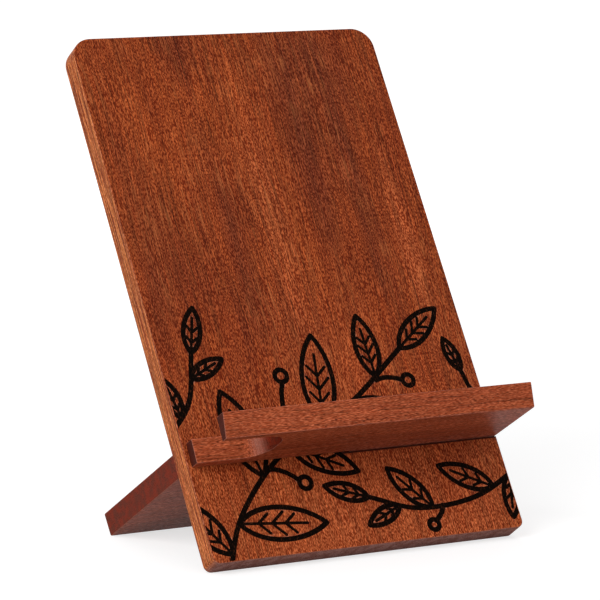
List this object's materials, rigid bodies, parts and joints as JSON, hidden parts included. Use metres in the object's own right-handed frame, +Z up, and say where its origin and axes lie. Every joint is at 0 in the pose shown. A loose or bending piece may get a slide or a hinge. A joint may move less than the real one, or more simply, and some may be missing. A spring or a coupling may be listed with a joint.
{
  "type": "kalimba stand",
  "caption": "Tabletop stand of two slotted hardwood boards: a leaning back board and a cross-lapped support that is both ledge and leg, holding a kalimba at an angle.",
  "frame": {"origin": "on the table, under the middle of the stand's bounding box", "axes": "+X to the stand's right, -Y to its front, where the ledge is, +Z up"},
  "size_m": [0.14, 0.138, 0.2001],
  "materials": {
    "back_board_wood": "satin",
    "support_board_wood": "satin",
    "burnt_line": "matte"
  },
  "bodies": {
    "back_board": {"back_board": "back_board_wood"},
    "support_board": {"support_board": "support_board_wood"}
  },
  "joints": [
    {"name": "support_slide", "type": "slide", "parent": "back_board", "child": "support_board", "axis": [1, 0, 0], "range_m": [0, 0.0665]}
  ]
}
